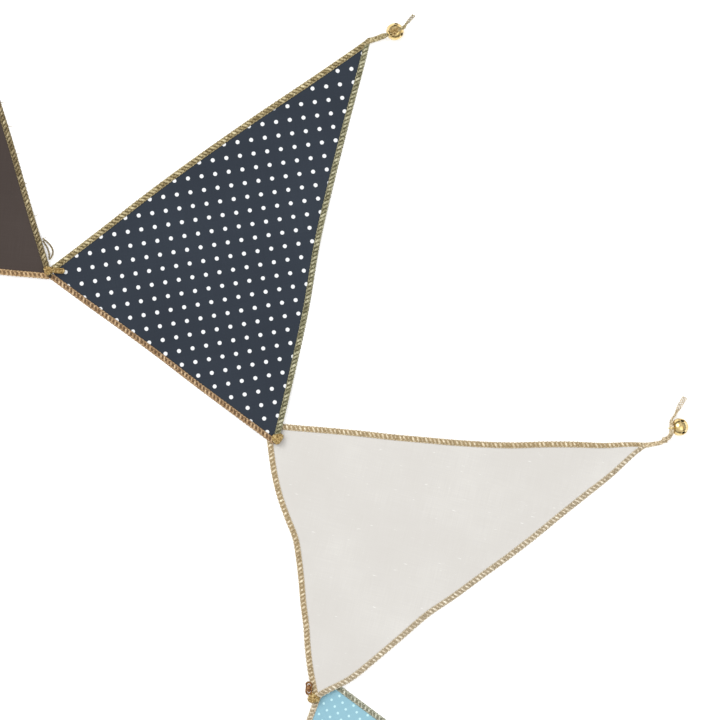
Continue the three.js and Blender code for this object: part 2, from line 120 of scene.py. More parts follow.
def side_of(start, end, bows, corners):
    """One side as a place, a direction along, a direction outwards, a length and its bows: it runs straight
    for the mitre's length at either end, which is the edging's width over the tangent of half the corner."""
    start, end = np.array(start, float), np.array(end, float)
    length = np.hypot(*(end - start))
    along = (end - start) / length
    third = sum(corners) - start - end
    halves = []
    for corner, towards in ((start, end), (end, start)):
        one, other = towards - corner, third - corner
        halves.append(np.arccos(one @ other / np.hypot(*one) / np.hypot(*other)) / 2)
    straight = [(EDGING_WIDTH + GAP) / np.tan(half) + GAP for half in halves]
    return dict(
        start=start,
        along=along,
        out=np.array([along[1], -along[0]]),
        length=length,
        halves=halves,
        first=straight[0],
        last=length - straight[1],
        bows=np.array([0, *bows, 0], float),
    )


def sides_of(pennant):
    """The base ab, and the sides bc and ca, in the pennant's own plane."""
    a, b, c = np.zeros(2), np.array([pennant["base"], 0.0]), np.array(pennant["tip"], float)
    ends = dict(ab=(a, b), bc=(b, c), ca=(c, a))
    return {key: side_of(*ends[key], pennant[key], (a, b, c)) for key in ends}


def bow_at(side, travel):
    """Height of the side over its straight line: a cubic through its bows, flat by the corners."""
    bows = side["bows"]
    share = (travel - side["first"]) / (side["last"] - side["first"])
    step = np.clip(share, 0, 1) * (len(bows) - 1)
    i = np.minimum(step.astype(int), len(bows) - 2)
    f = step - i
    p0, p1, p2, p3 = (bows[np.clip(i + k, 0, len(bows) - 1)] for k in (-1, 0, 1, 2))
    return p1 + 0.5 * f * (p2 - p0 + f * (2 * p0 - 5 * p1 + 4 * p2 - p3 + f * (3 * (p1 - p2) + p3 - p0)))


def side_point(side, travel, inset):
    """Start, plus travel along the side, plus the bow less the inset outwards."""
    travel = np.asarray(travel, float)
    outward = (bow_at(side, travel) - inset)[..., None]
    return side["start"] + travel[..., None] * side["along"] + outward * side["out"]


def reach(side, inset, share):
    """How far along the side the mitre meets a line that lies inset from it, from one end to the other."""
    near, far = (inset / np.tan(half) for half in side["halves"])
    return near + (side["length"] - far - near) * share


def rise_at(pennant, sides, place):
    """The underside over the table: a lifted corner that fades out smoothly, plus round-topped waves."""
    away = np.hypot(*(place - np.array([pennant["base"], 0.0])).T).T
    fade = np.clip((away - LIFT_WHOLE) / (LIFT_ENDS - LIFT_WHOLE), 0, 1)
    rise = CORNER_LIFT * (1 - fade**2 * (3 - 2 * fade)) * pennant["lifted"]
    for key, middle, half, depth, height in pennant["waves"]:
        offset = place - sides[key]["start"]
        along = (offset @ sides[key]["along"] - middle) / half
        inward = np.maximum(0, -(offset @ sides[key]["out"])) / depth
        bump = [np.where(abs(x) < 1, (1 - np.minimum(x * x, 1)) ** 2, 0) for x in (along, inward)]
        rise = rise + height * bump[0] * bump[1]
    return rise


def turned(degrees):
    """The matrix that turns rows of places to the left by this angle."""
    c, s = np.cos(np.radians(degrees)), np.sin(np.radians(degrees))
    return np.array([[c, s], [-s, c]])


def on_table(pennant, place):
    """From a pennant's own plane to the table: turned by its base's direction, then moved to its corner."""
    return place @ turned(pennant["turn"]) + np.array(pennant["at"])


def outline_of(pennant, inset):
    """Places along a line that lies inset from the three sides, 17 on each."""
    shares = np.linspace(0, 1, 17)
    lines = [side_point(side, reach(side, inset, shares), inset) for side in sides_of(pennant).values()]
    return on_table(pennant, np.concatenate(lines))


# The part's origin isn't the middle of the view. The low corner of navy's solid shows where that middle lies.
navy_low = np.array(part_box("navy_panel")[0][:2]) / MM
VIEW_MIDDLE = navy_low - outline_of(PENNANTS["navy"], EDGING_WIDTH + GAP).min(0)


def make_piece(name, points, faces, finishes, slot, nodes, kinds=None, **marks):
    """A smooth mesh at the origin, from points in millimetres on the table and lists of faces. kinds gives
    each face's finish, and marks are values that its materials read at its points."""
    mesh = bpy.data.meshes.new(name)
    shifted = np.array(points, float) + [*VIEW_MIDDLE, 0]
    mesh.from_pydata((shifted * MM).tolist(), [], faces)
    mesh.polygons.foreach_set("use_smooth", np.ones(len(mesh.polygons), bool))
    for finish in finishes:
        mesh.materials.append(finish)
    if kinds is not None:
        mesh.polygons.foreach_set("material_index", np.array(kinds, np.int32))
    for key, values in marks.items():
        layer = mesh.attributes.new(key, "FLOAT_VECTOR", "POINT")
        layer.data.foreach_set("vector", np.array(values, np.float32).ravel())
    mesh.validate()
    piece = bpy.data.objects.new(name, mesh)
    bpy.context.scene.collection.objects.link(piece)
    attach(piece, "root")
    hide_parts(*nodes)
    return piece


class Shade:
    """A shader socket. Sums on it make Math nodes, node() makes any other node of the same material, and
    surface() ends it."""

    def __init__(self, tree, socket=None):
        self.tree, self.socket = tree, socket

    def node(self, kind, settings, sockets, out=0):
        made = self.tree.nodes.new(kind)
        for key, value in settings.items():
            if key != "stops":
                setattr(made, key, value)
                continue
            ramp = made.color_ramp.elements
            for i, (place, colour) in enumerate(value):
                stop = ramp[i] if i < 2 else ramp.new(place)
                stop.position, stop.color = place, colour
        for key, value in sockets.items():
            if isinstance(value, Shade):
                self.tree.links.new(value.socket, made.inputs[key])
            else:
                made.inputs[key].default_value = value
        return Shade(self.tree, made.outputs[out]) if made.outputs else None

    def math(self, operation, *values, clamp=False):
        settings = {"operation": operation, "use_clamp": clamp}
        return self.node("ShaderNodeMath", settings, dict(enumerate(values)))

    def mix(self, factor, a, b):
        return self.node("ShaderNodeMix", {"data_type": "RGBA"}, {0: factor, 6: a, 7: b}, out=2)

    def noise(self, place, scale, detail):
        return self.node("ShaderNodeTexNoise", {}, {0: place, "Scale": scale, "Detail": detail})

    def surface(self, look):
        body = self.node("ShaderNodeBsdfPrincipled", {}, look)
        self.node("ShaderNodeOutputMaterial", {}, {0: body})

    def __add__(self, other):
        return self.math("ADD", self, other)

    def __sub__(self, other):
        return self.math("SUBTRACT", self, other)

    def __rsub__(self, other):
        return self.math("SUBTRACT", other, self)

    def __mul__(self, other):
        return self.math("MULTIPLY", self, other)

    def __truediv__(self, other):
        return self.math("DIVIDE", self, other)

    __radd__, __rmul__ = __add__, __mul__


def new_finish(name):
    """A material without nodes yet, and a Shade that makes them."""
    material = bpy.data.materials.new(name)
    material.use_nodes = True
    material.node_tree.nodes.clear()
    return material, Shade(material.node_tree)


def linear(*srgb):
    """The scene's own colour value for an sRGB colour in steps from 0 to 255."""
    c = np.array(srgb) / 255
    return (*np.where(c < 0.0405, c / 12.92, ((c + 0.055) / 1.055) ** 2.4), 1.0)


WEAVE_PITCH = 0.42  # one yarn over and one under
SLUB_COLOUR = linear(236, 235, 231)


def cloth_finish(name, tones, dots=None, slubs=0.0):
    """Plain-woven cotton: over-and-under of the yarns as bump, each yarn a little lighter or darker, short
    pale slubs along the weft where a stretched noise peaks, and printed dots where the distance to the
    nearest crossing of a slanted lattice is under their radius."""
    material, s = new_finish(name)
    grain = s.node("ShaderNodeAttribute", {"attribute_name": "grain"}, {}, "Vector")
    u = s.node("ShaderNodeSeparateXYZ", {}, {0: grain}, "X")
    v = s.node("ShaderNodeSeparateXYZ", {}, {0: grain}, "Y")
    warp = s.node("ShaderNodeMapping", {}, {0: grain, "Scale": (2.4, 0.06, 1)})
    weft = s.node("ShaderNodeMapping", {}, {0: grain, "Scale": (0.06, 2.4, 1)})
    yarns = s.noise(warp, 1.0, 1.0) + s.noise(weft, 1.0, 1.0)
    broad = s.noise(grain, 0.018, 3.0)
    tone = yarns * 0.2 + broad * 0.5 + 0.05
    stops = list(zip((0.2, 0.5, 0.85), (linear(*srgb) for srgb in tones)))
    dye = s.node("ShaderNodeValToRGB", {"stops": stops}, {0: tone})
    if slubs:
        coarse = s.node("ShaderNodeMapping", {}, {0: grain, "Scale": (0.2, 0.85, 1)})
        fleck = s.noise(coarse, 1.0, 2.0)
        lit = s.math("MULTIPLY", fleck - 0.69, 12.0, clamp=True)
        dye = s.mix(lit * slubs, dye, SLUB_COLOUR)
    over = s.math("SINE", u * (2 * np.pi / WEAVE_PITCH)) * s.math("SINE", v * (2 * np.pi / WEAVE_PITCH))
    if dots:
        ink, radius, across, down = dots
        du = (s.math("FRACT", u / across + 0.5) - 0.5) * across
        dv = (s.math("FRACT", v / down + 0.5) - 0.5) * down
        wobble = s.noise(grain, 1.6, 1.0) * 0.3 - 0.15
        away = s.math("SQRT", du * du + dv * dv) + wobble
        printed = s.math("MULTIPLY", radius - away, 5.0, clamp=True)
        dye = s.mix(printed, dye, ink)
    bump = s.node("ShaderNodeBump", {}, {"Strength": 0.35, "Distance": 0.00008, "Height": over * 0.5 + yarns})
    coat = {"Base Color": dye, "Roughness": 0.85, "Specular IOR Level": 0.25, "Normal": bump}
    s.surface(coat)
    return material


# A print has its ink, the dots' radius and their pitch along the weft and along the warp. Tones go from deep
# to pale. A grain has the directions of weft and warp in degrees, and the place of one dot.
NAVY_DOTS = (linear(232, 234, 236), 1.24, 7.911, 7.897)
BLUE_DOTS = (linear(190, 228, 234), 0.8, 4.97, 4.22)
NAVY_PULL = dict(
    middle=(-75.6, 60.4),
    x=(-0.32, -0.16, -0.02, 0.15, -0.05, 0.36),
    y=(0.09, 0.06, 0.27, 0.08, -0.8, 0.03),
)
CLOTHS = {
    "brown": dict(
        finish="brown cotton",
        tones=[(58, 49, 46), (66, 57, 53), (76, 67, 63)],
        grain=(-6.93, 83.07, (0, 0)),
    ),
    "navy": dict(
        finish="navy dotted cotton",
        tones=[(37, 43, 52), (43, 50, 60), (52, 60, 70)],
        grain=(10.14, 100.98, (-112.67, 92.76)),
        dots=NAVY_DOTS,
        pull=NAVY_PULL,
    ),
    "white": dict(
        finish="off-white slubbed cotton",
        tones=[(200, 196, 190), (206, 203, 198), (222, 220, 215)],
        grain=(-14.0, 76.0, (0, 0)),
        slubs=0.8,
    ),
    "blue": dict(
        finish="light blue dotted cotton",
        tones=[(126, 169, 185), (139, 182, 197), (152, 194, 206)],
        grain=(25.69, 115.17, (-16.51, -193.79)),
        dots=BLUE_DOTS,
    ),
}


def crinkle_at(x, y):
    """A shallow crinkle: a sine across times a sine along, each pushed to and fro by a slower one, raised."""
    across = np.sin(x / 7.1 + 2 * np.sin(y / 31))
    along = np.sin(y / 9.3 + 1.5 * np.sin(x / 23))
    return CRINKLE * across * along + 0.05


def cloth_sheet(pennant, steps):
    """A triangle of even steps: a weighted mean of its three corners, pulled out along each side by that
    side's bow times the square of the two weights beside it, with a top and an underside joined all round."""
    sides = sides_of(pennant)
    i, j = np.array([(i, j) for i in range(steps + 1) for j in range(steps + 1 - i)]).T
    c, b = i / steps, j / steps
    weights = dict(zip("abc", (1 - b - c, b, c)))
    corners = {key[0]: side_point(s, reach(s, CLOTH_INSET, 0.0), CLOTH_INSET) for key, s in sides.items()}
    place = sum(weights[key][:, None] * corners[key] for key in "abc")
    for (one, other), side in sides.items():
        both = weights[one] + weights[other]
        share = weights[other] / np.where(both > 0, both, 1)
        pull = bow_at(side, reach(side, CLOTH_INSET, share)) * both**2
        place = place + pull[:, None] * side["out"]
    table = on_table(pennant, place)
    low = rise_at(pennant, sides, place) + CLOTH_LOW + crinkle_at(*table.T)
    points = np.concatenate([np.c_[table, low], np.c_[table, low + CLOTH_HIGH - CLOTH_LOW]])

    count = len(i)
    row = np.cumsum([0] + [steps + 1 - k for k in range(steps)])
    own = row[i] + j
    has_below = (i + j) < steps
    here = own[has_below]
    below = (row[np.minimum(i + 1, steps)] + j)[has_below]
    upright = np.stack([here, here + 1, below], 1)
    inner = (i + j) < steps - 1
    below = row[i[inner] + 1] + j[inner]
    inverted = np.stack([own[inner] + 1, below + 1, below], 1)
    top = np.concatenate([upright, inverted])
    k = np.arange(steps)
    rims = [(k, k + 1), (row[k] + steps - k, row[k + 1] + steps - k - 1), (row[k + 1], row[k])]
    walls = np.concatenate([np.stack([p, q, q + count, p + count], 1) for p, q in rims])
    under = top[:, ::-1]
    return points, (top + count).tolist() + under.tolist() + walls.tolist(), table


PULL_STEP = 50


def pulled_back(table, middle, x, y):
    """Where a place lay before the cloth was pulled off square: less a square polynomial of its distances
    from the middle in pull steps, u and v, with terms 1, u, v, uu, uv, vv."""
    u, v = (table - np.array(middle)).T / PULL_STEP
    terms = np.stack([np.ones_like(u), u, v, u * u, u * v, v * v], 1)
    return table - terms @ np.array([x, y]).T


for name, cloth in CLOTHS.items():
    points, faces, table = cloth_sheet(PENNANTS[name], CLOTH_STEPS)
    weft, warp, middle = cloth["grain"]
    yarns = np.array([[np.cos(np.radians(way)), np.sin(np.radians(way))] for way in (weft, warp)])
    if "pull" in cloth:
        table = pulled_back(table, **cloth["pull"])
    grain = (table - np.array(middle)) @ np.linalg.inv(yarns)
    grain = np.c_[grain, np.zeros(len(grain))]
    finish = cloth_finish(cloth["finish"], cloth["tones"], cloth.get("dots"), cloth.get("slubs", 0.0))
    grain = np.concatenate([grain, grain])
    cloth_name = name + "_cloth"
    make_piece(
        cloth_name, points, faces, [finish], cloth_name, [name + "_panel"], grain=grain
    )

# Overlocked edging: a machine seam of gold foil thread over the cut edge. Slanted loops cross it at every
# stitch, one twisted pair of plies runs along its outside and one along its inside, and thread fills what is
# between. Each run starts and ends at a mitre, or at the knot that ties the corner.
STITCH_PITCH = 2.5

# loop, outer and inner = width of a loop and of the ply pairs; slant = how many stitches a loop leans back;
# swell = how much of its width a loop loses at its ends.
SEAMS = {
    "ladder": dict(loop=1.4, slant=-0.55, outer=1.4, inner=1.1, swell=0.2),
    "rope": dict(loop=1.75, slant=-1.1, outer=1.1, inner=0.85, swell=0.35),
    "beads": dict(loop=1.6, slant=-0.6, outer=0.8, inner=0.75, swell=0.55),
}
LOOP_FOOT = 0.85  # height of a loop's ends over the cloth's underside
LOOP_ARCH = 0.42  # how much higher its middle is
OUTER_HEIGHT = 0.75  # of the ply pairs
INNER_HEIGHT = 1.15
INNER_PAST = 0.15  # how far the inner pair reaches past the edging's width
WANDER = 0.1  # how far the outer pair swings with each stitch
PLY_SIZE = 0.27  # a ply's radius, as a share of its pair's width
# Inset from the edging's outer line and height, round the fill's section
FILL_SECTION = [(0.5, 0.2), (0.35, 0.6), (0.75, 1.05), (1.75, 1.22), (2.8, 1.2), (3.3, 1.05), (3.3, 0.5)]
PINCH = {"brown": 0.0, "navy": 0.1, "white": 0.36, "blue": 0.36}  # share of its width lost by the tip
PINCH_LENGTH = 46  # and how far from the tip that starts
TIED = {"brown": 1.2, "navy": 1.6, "white": 1.0, "blue": 2.0}  # how far the seams stay off the last corner
RUNS = {
    "brown": dict(base=("ab", "ladder", "tan"), far=("bc", "rope", "moss"), near=("ca", "rope", "olive")),
    "navy": dict(base=("ab", "ladder", "copper"), far=("bc", "rope", "sage"), near=("ca", "rope", "olive")),
    "white": dict(base=("ab", "beads", "pale"), far=("bc", "beads", "blush"), near=("ca", "beads", "pale")),
    "blue": dict(base=("ab", "ladder", "blush"), far=("bc", "rope", "grey"), near=("ca", "ladder", "grey")),
}


def thread_finish(name, shadow, tone, glint):
    """Foil thread: flecks along it, painted into the base colour as glints where a stretched noise peaks and
    as shade where it dips, and a little less rough where they glint; a fine twist as bump, and each thread's
    own tone, the fraction of a multiple of its number."""
    material, s = new_finish(name)
    lay = s.node("ShaderNodeAttribute", {"attribute_name": "lay"}, {}, "Vector")
    along, around, which = (s.node("ShaderNodeSeparateXYZ", {}, {0: lay}, axis) for axis in "XYZ")
    stretched = s.node("ShaderNodeMapping", {}, {0: lay, "Scale": (1.3, 2.5, 37.0)})
    fleck = s.noise(stretched, 1.0, 3.0)
    own = s.math("FRACT", which * 7.31)
    # The noise and each thread's own tone pick the base colour from painted shade, through the tone, to a
    # painted glint.
    level = fleck * 1.1 + own * 0.3 - 0.2
    colour = s.node("ShaderNodeValToRGB", {"stops": [(0.22, shadow), (0.48, tone), (0.8, glint)]}, {0: level})
    twist = s.math("SINE", (around * 2 + along / 0.6) * (2 * np.pi))
    bump = s.node("ShaderNodeBump", {}, {"Strength": 0.5, "Distance": 0.00012, "Height": twist * 0.5 + fleck})
    look = {"Base Color": colour, "Metallic": 0.35, "Roughness": 0.62 - fleck * 0.35, "Normal": bump}
    s.surface(look)
    return material


def shade_darkened_finish(name, shadow, tone):
    """Thread and cut edge under the loops, and the inside of a bell: darker than the thread, as painted
    shade, with fine ends across it.
    """
    material, s = new_finish(name)
    place = s.node("ShaderNodeTexCoord", {}, {}, "Object")
    ends = s.noise(place, 1600.0, 3.0)
    colour = s.mix(s.math("MULTIPLY", ends - 0.3, 2.2, clamp=True), shadow, tone)
    bump = s.node("ShaderNodeBump", {}, {"Strength": 0.7, "Distance": 0.0002, "Height": ends})
    look = {"Base Color": colour, "Roughness": 0.8, "Normal": bump}
    s.surface(look)
    return material


# Each gold's colour as painted shade, in the light, and as a painted glint
TINTS = {
    "copper": [(132, 100, 66), (178, 147, 110), (222, 196, 158)],
    "tan": [(148, 116, 78), (192, 160, 118), (230, 204, 164)],
    "olive": [(120, 103, 64), (168, 152, 110), (220, 208, 168)],
    "moss": [(92, 78, 47), (138, 122, 87), (190, 177, 140)],
    "sage": [(106, 102, 71), (154, 150, 118), (204, 200, 170)],
    "pale": [(164, 143, 106), (206, 188, 155), (246, 234, 206)],
    "grey": [(126, 126, 106), (176, 176, 156), (220, 220, 202)],
    "blush": [(166, 151, 124), (213, 199, 173), (244, 236, 217)],
    "honey": [(128, 98, 50), (176, 146, 88), (226, 206, 150)],
    "umber": [(76, 42, 20), (122, 78, 38), (184, 140, 84)],
}
# The fill's darkness is painted shade under the loops, below even the thread's painted shade.
FILL_DEPTHS = {  # the fill's two tones, as shares of the thread's shadow, and the seams that have them
    (0.6, 0.95): ["copper", "tan", "olive", "moss", "sage"],
    (0.86, 1.08): ["pale", "grey", "blush"],
}
THREADS, FILLS = {}, {}
for tint, colours in TINTS.items():
    THREADS[tint] = thread_finish(tint + " gold thread", *(linear(*colour) for colour in colours))
for depth, tints in FILL_DEPTHS.items():
    for tint in tints:
        under = [linear(*(share * np.array(TINTS[tint][0]))) for share in depth]
        FILLS[tint] = shade_darkened_finish(tint + " shaded seam fill", *under)


def lengths_along(lines):
    """How far along its line each station lies."""
    steps = np.linalg.norm(np.diff(lines, axis=-2), axis=-1)
    return np.concatenate([np.zeros((*steps.shape[:-1], 1)), np.cumsum(steps, -1)], -1)


def directions(run, lean=(0, 0, 1)):
    """Unit vectors across a run of steps, square to the lean, and upwards from it."""
    run = run / np.linalg.norm(run, axis=-1, keepdims=True)
    across = np.cross(run, np.broadcast_to(lean, run.shape))
    across = across / np.maximum(np.linalg.norm(across, axis=-1, keepdims=True), 1e-9)
    return across, np.cross(across, run)


def thread_tubes(paths, radii, sides=6, closed=False, lean=(0, 0, 1)):
    """Round threads: each station of each path gets a ring, its centre plus the radius times the cosine
    across and the sine upwards. Returns points, faces and lay, which is the length along, the share of the
    turn and the thread's number."""
    paths = np.asarray(paths, float)
    count, stations, _ = paths.shape
    radii = np.broadcast_to(radii, (count, stations))
    if closed:
        run = np.roll(paths, -1, 1) - np.roll(paths, 1, 1)
    else:
        run = np.gradient(paths, axis=1)
    across, upward = directions(run, lean)
    turn = (np.arange(sides) + 0.5) / sides - 0.25
    cosine, sine = np.cos(2 * np.pi * turn)[:, None], np.sin(2 * np.pi * turn)[:, None]
    spokes = cosine * across[:, :, None] + sine * upward[:, :, None]
    points = paths[:, :, None] + radii[:, :, None, None] * spokes
    along = lengths_along(paths)[:, :, None]
    lay = np.stack(np.broadcast_arrays(along, turn, np.arange(count)[:, None, None] + 0.37), 3)
    spans = stations if closed else stations - 1
    t, k, i = np.meshgrid(np.arange(count), np.arange(spans), np.arange(sides), indexing="ij")
    at = lambda k, i: ((t * stations + k % stations) * sides + i % sides).ravel()
    faces = np.stack([at(k, i), at(k, i + 1), at(k + 1, i + 1), at(k + 1, i)], 1)[:, ::-1].tolist()
    if not closed:
        first = np.arange(count)[:, None] * stations * sides + np.arange(sides)
        faces += first.tolist() + (first + (stations - 1) * sides)[:, ::-1].tolist()
    return points.reshape(-1, 3), faces, lay.reshape(-1, 3)


def joined(bodies):
    """Several bodies' points, faces and marks as one."""
    start = np.cumsum([0] + [len(points) for points, _, _ in bodies])
    faces = [[v + s for v in face] for s, (_, own, _) in zip(start, bodies) for face in own]
    return np.concatenate([b[0] for b in bodies]), faces, np.concatenate([b[2] for b in bodies])


def twisted_pair(line, width, pitch):
    """Two plies round a line: each lies a quarter of the width off it and goes round once for each pitch."""
    turn = 2 * np.pi * lengths_along(line) / pitch
    across, upward = directions(np.gradient(line, axis=0))
    plies = [
        line + width / 4 * (np.cos(turn + lag)[:, None] * across + np.sin(turn + lag)[:, None] * upward)
        for lag in (0, np.pi)
    ]
    return thread_tubes(plies, width * PLY_SIZE, sides=5)


def overlock(pennant, key, seam, trims, pinch, rng):
    """A run of stitches: a loop at each pitch from the outer ply pair to the inner one, its height a half
    sine and its width swelling in the middle, slanted back along the seam, over a low rounded fill. Each
    stitch differs a little from the next. The seam gets narrower by the pinch towards the tip."""
    sides = sides_of(pennant)
    side = sides[key]
    ends = reach(side, EDGING_WIDTH / 2, np.array([0.0, 1.0])) + np.array([trims[0], -trims[1]])
    count = int(round((ends[1] - ends[0]) / STITCH_PITCH))
    pitch = (ends[1] - ends[0]) / count

    def lifted(travel, inset, height):
        from_end = side["length"] - travel if key == "bc" else travel + 1e3 * (key == "ab")
        place = side_point(side, travel, inset * (1 - pinch * np.clip(1 - from_end / PINCH_LENGTH, 0, 1)))
        up = rise_at(pennant, sides, place) + height
        return np.concatenate([on_table(pennant, place), up[..., None]], -1)

    t = np.linspace(0, 1, 7)
    middle = ends[0] + pitch * (np.arange(count) + 0.5 + rng.uniform(-0.07, 0.07, count))
    slant = pitch * (seam["slant"] + rng.uniform(-0.12, 0.12, (count, 1)))
    travel = middle[:, None] + slant * (t - 0.5)
    inset = np.broadcast_to(0.5 + (EDGING_WIDTH - 0.8) * t, travel.shape)
    height = LOOP_FOOT + LOOP_ARCH * np.sin(np.pi * t) + rng.uniform(-0.05, 0.05, (count, 1))
    swell = 1 - seam["swell"] + seam["swell"] * np.sin(np.pi * t)
    size = seam["loop"] / 2 * swell * rng.uniform(0.9, 1.08, (count, 1))
    loops = thread_tubes(lifted(travel, inset, height), size)

    fine = np.linspace(ends[0] - 0.6, ends[1] + 0.6, count * 7)
    wander = np.sin(2 * np.pi * (fine - ends[0]) / pitch)
    outer_inset = 0.1 + seam["outer"] / 2 + WANDER * wander
    inner_inset = EDGING_WIDTH + INNER_PAST - seam["inner"] / 2 - 0.06 * wander
    outer = lifted(fine, outer_inset, OUTER_HEIGHT + 0.08 * wander)
    inner = lifted(fine, inner_inset, INNER_HEIGHT + 0.05 * wander)
    pairs = [twisted_pair(outer, seam["outer"], pitch), twisted_pair(inner, seam["inner"], pitch * 0.8)]
    threads = joined([loops, *pairs])

    steps = np.linspace(ends[0] - 0.5, ends[1] + 0.5, count + 1)
    rows = [lifted(steps, np.full(count + 1, inset), height) for inset, height in FILL_SECTION]
    rings = np.stack(rows, 1)
    wide = len(FILL_SECTION)
    k, i = np.meshgrid(np.arange(count), np.arange(wide), indexing="ij")
    at = lambda k, i: (k * wide + i % wide).ravel()
    faces = np.stack([at(k, i), at(k + 1, i), at(k + 1, i + 1), at(k, i + 1)], 1).tolist()
    faces += [list(range(wide)), list(range(count * wide, (count + 1) * wide))[::-1]]
    fill = (rings.reshape(-1, 3), faces, np.zeros(((count + 1) * wide, 3)))
    points, faces, lay = joined([threads, fill])
    kinds = [0] * len(threads[1]) + [1] * len(fill[1])
    return points, faces, lay, kinds


for order, (name, runs) in enumerate(RUNS.items()):
    tied = TIED[name]
    for where, (key, seam, tint) in runs.items():
        trims = dict(ab=(0, tied), bc=(tied, 0.4), ca=(0.4, 0))[key]
        rng = np.random.default_rng(10 * order + len(where))
        points, faces, lay, kinds = overlock(PENNANTS[name], key, SEAMS[seam], trims, PINCH[name], rng)
        own_name, node = f"{name}_{where}_stitches", f"{name}_{where}_edging"
        finishes = [THREADS[tint], FILLS[tint]]
        make_piece(
            own_name, points, faces, finishes, "gold_thread", [node], kinds, lay=lay
        )

# Chain tails: the seam's threads run on past each tip as a loose plait, thick where the two seams join and
# single further out. Each goes through a bell's eye, and its cut end has come open.
TAIL_WIDTH = 1.6
PLAIT_PITCH = 4.6
STRAND_RADIUS = 0.25  # of a plait's strand, as a share of the plait's width
STRAND_HOP = 0.24  # how far it goes over and under, as a share too
STRAND_THINS = 0.45  # how much thinner it is where the plait has come open
OVER_WIDTH = 2.3  # of the plait where it lies over a bell
OPEN_FROM = 0.74  # share of a tail's length where its plait starts to come open
OPEN_WITHIN = 0.12  # and the share within which it does
TABLE_GAP = 0.02  # no thread of a tail or a hanging loop lies lower over the table

# Places are in the tip's own plane: x out past the tip, y to its left, z up, and then the plait's width. The
# tail goes through those before, over the bell between two angles, and through those after. A bell has its
# middle, its eye's turn and rise, and the turns of the eye's wire and of the slots.
TAILS = {
    "over": dict(
        bell=dict(at=(8.9, -10.0), turn=-33, rise=120, thread=0, slots=50),
        knot=dict(on_bell=94, size=(6.8, 5.2, 3.8), turn=-33),
        over=(150, 30),
        before=[
            (-5.0, 0, 1.75, 3.4), (-3.7, -0.3, 1.85, 3.6), (-2.1, -1.7, 1.8, 3.4),
            (0.1, -3.5, 1.65, 3.3), (1.8, -4.7, 2.6, 3.3), (3.0, -5.8, 5.0, 3.3),
        ],
        after=[
            (15.2, -12.9, 5.2, TAIL_WIDTH), (16.6, -12.8, 2.6, TAIL_WIDTH), (18.4, -13.0, 1.1, TAIL_WIDTH),
            (20.6, -13.3, 0.85, TAIL_WIDTH), (23.1, -13.6, 0.85, TAIL_WIDTH),
        ],
    ),
    "beside": dict(
        bell=dict(at=(17.7, 4.1), turn=168.7, rise=40, thread=90, slots=45),
        knot=dict(at=(7.9, -0.5), size=(3.8, 4.4, 3.9), turn=25),
        over=None,
        before=[
            (-5.0, 0, 1.75, 3.2), (-3.0, -0.3, 1.75, 3.1), (2.3, -1.1, 1.4, 2.7),
            (5.3, -1.3, 1.4, 2.6), (7.9, -0.5, 1.6, 2.4), (10.0, 0.1, 2.6, 2.6),
            (11.3, 1.2, 5.2, 2.6), (12.4, 3.0, 8.2, 2.9), (13.1, 5.1, 9, 3.0),
            (13.6, 7.4, 8.2, 2.7), (14.7, 9.6, 5.3, 1.7),
        ],
        after=[
            (16.8, 10.8, 2.4, TAIL_WIDTH), (18.4, 12.3, 1.1, TAIL_WIDTH), (20.9, 14.7, 0.85, TAIL_WIDTH),
            (23.2, 16.9, 0.85, TAIL_WIDTH), (26.1, 19.4, 0.85, TAIL_WIDTH),
        ],
    ),
}
TIPS = {
    "brown": dict(tail="over", tint="moss", opening=2.0),
    "navy": dict(tail="over", tint="olive", opening=2.2),
    "white": dict(tail="beside", tint="pale", opening=3.1),
    "blue": dict(tail="beside", tint="grey", opening=2.6),
}
BELL_RADIUS = 5.0
EYE_HEIGHT = 6.25  # from a bell's middle to the middle of its eye


def outward_angle(ending, starting):
    """The direction out past a corner, in degrees, where one side ends and the next starts."""
    out = ending["along"] - starting["along"]
    return np.degrees(np.arctan2(out[1], out[0]))


def from_tip(pennant, points):
    """From the tip's own plane to the table."""
    points = np.asarray(points, float)
    sides = sides_of(pennant)
    flat = points[..., :2] @ turned(outward_angle(sides["bc"], sides["ca"])) + np.array(pennant["tip"])
    return np.concatenate([on_table(pennant, flat), points[..., 2:]], -1)


def over_bell(bell, angle):
    """A place over the bell at the height of its eye, angle degrees up from its far side."""
    out, up = EYE_HEIGHT * np.cos(np.radians(angle)), EYE_HEIGHT * np.sin(np.radians(angle))
    turn = np.radians(bell["turn"])
    return (bell["at"][0] + out * np.cos(turn), bell["at"][1] + out * np.sin(turn), BELL_RADIUS + up)


def curve_through(points, gap):
    """A smooth curve through points, its cubic pieces spaced by the root of the distance between them, and
    then stations an even gap apart along it. Columns after the third are carried along in the same way."""
    p = np.asarray(points, float)
    p = np.concatenate([[2 * p[0] - p[1]], p, [2 * p[-1] - p[-2]]])
    d = np.sqrt(np.linalg.norm(np.diff(p[:, :3], axis=0), axis=1))[:, None]
    p0, p1, p2, p3 = p[:-3], p[1:-2], p[2:-1], p[3:]
    d0, d1, d2 = d[:-2], d[1:-1], d[2:]
    m1 = ((p1 - p0) / d0 - (p2 - p0) / (d0 + d1) + (p2 - p1) / d1) * d1
    m2 = ((p2 - p1) / d1 - (p3 - p1) / (d1 + d2) + (p3 - p2) / d2) * d1
    t = np.linspace(0, 1, 24, endpoint=False)[:, None, None]
    line = p1 + m1 * t + (3 * (p2 - p1) - 2 * m1 - m2) * t**2 + (2 * (p1 - p2) + m1 + m2) * t**3
    line = np.concatenate([line.transpose(1, 0, 2).reshape(-1, p.shape[1]), p[-2:-1]])
    along = lengths_along(line[:, :3])
    even = np.linspace(0, along[-1], int(round(along[-1] / gap)) + 1)
    return np.stack([np.interp(even, along, column) for column in line.T], 1), along[-1]


